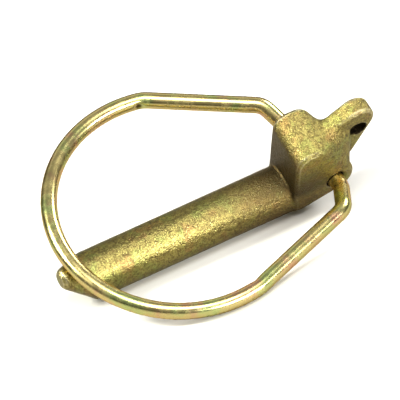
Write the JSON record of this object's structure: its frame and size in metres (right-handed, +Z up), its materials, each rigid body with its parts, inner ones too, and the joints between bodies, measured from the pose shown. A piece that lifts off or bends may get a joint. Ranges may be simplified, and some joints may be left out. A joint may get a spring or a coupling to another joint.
{
  "type": "lynch pin",
  "caption": "Forged lynch pin with a round shaft, a cut-back nose, a tall head with a chain lug, and a hinged spring-wire ring that closes over the tip.",
  "frame": {"origin": "on the shaft's axis, where the shaft leaves the head's front face", "axes": "+X along the shaft to its tip, +Z up with the pin lying at rest on its shaft and one side of its closed ring, +Y to the side that the pin is rolled down on"},
  "size_m": [0.0834, 0.0584, 0.0299],
  "materials": {
    "forging": "satin, granular as forged, yellow zinc passivated",
    "wire": "glossy drawn wire, yellow zinc passivated"
  },
  "bodies": {
    "pin": {"pin_body": "forging"},
    "ring": {"ring": "wire"}
  },
  "joints": [
    {"name": "ring_hinge", "type": "hinge", "parent": "pin", "child": "ring", "pos_m": [-0.01, 0.00207, 0.00433], "axis": [0.1478, -0.8927, 0.4257], "range_deg": [0, 180]}
  ]
}
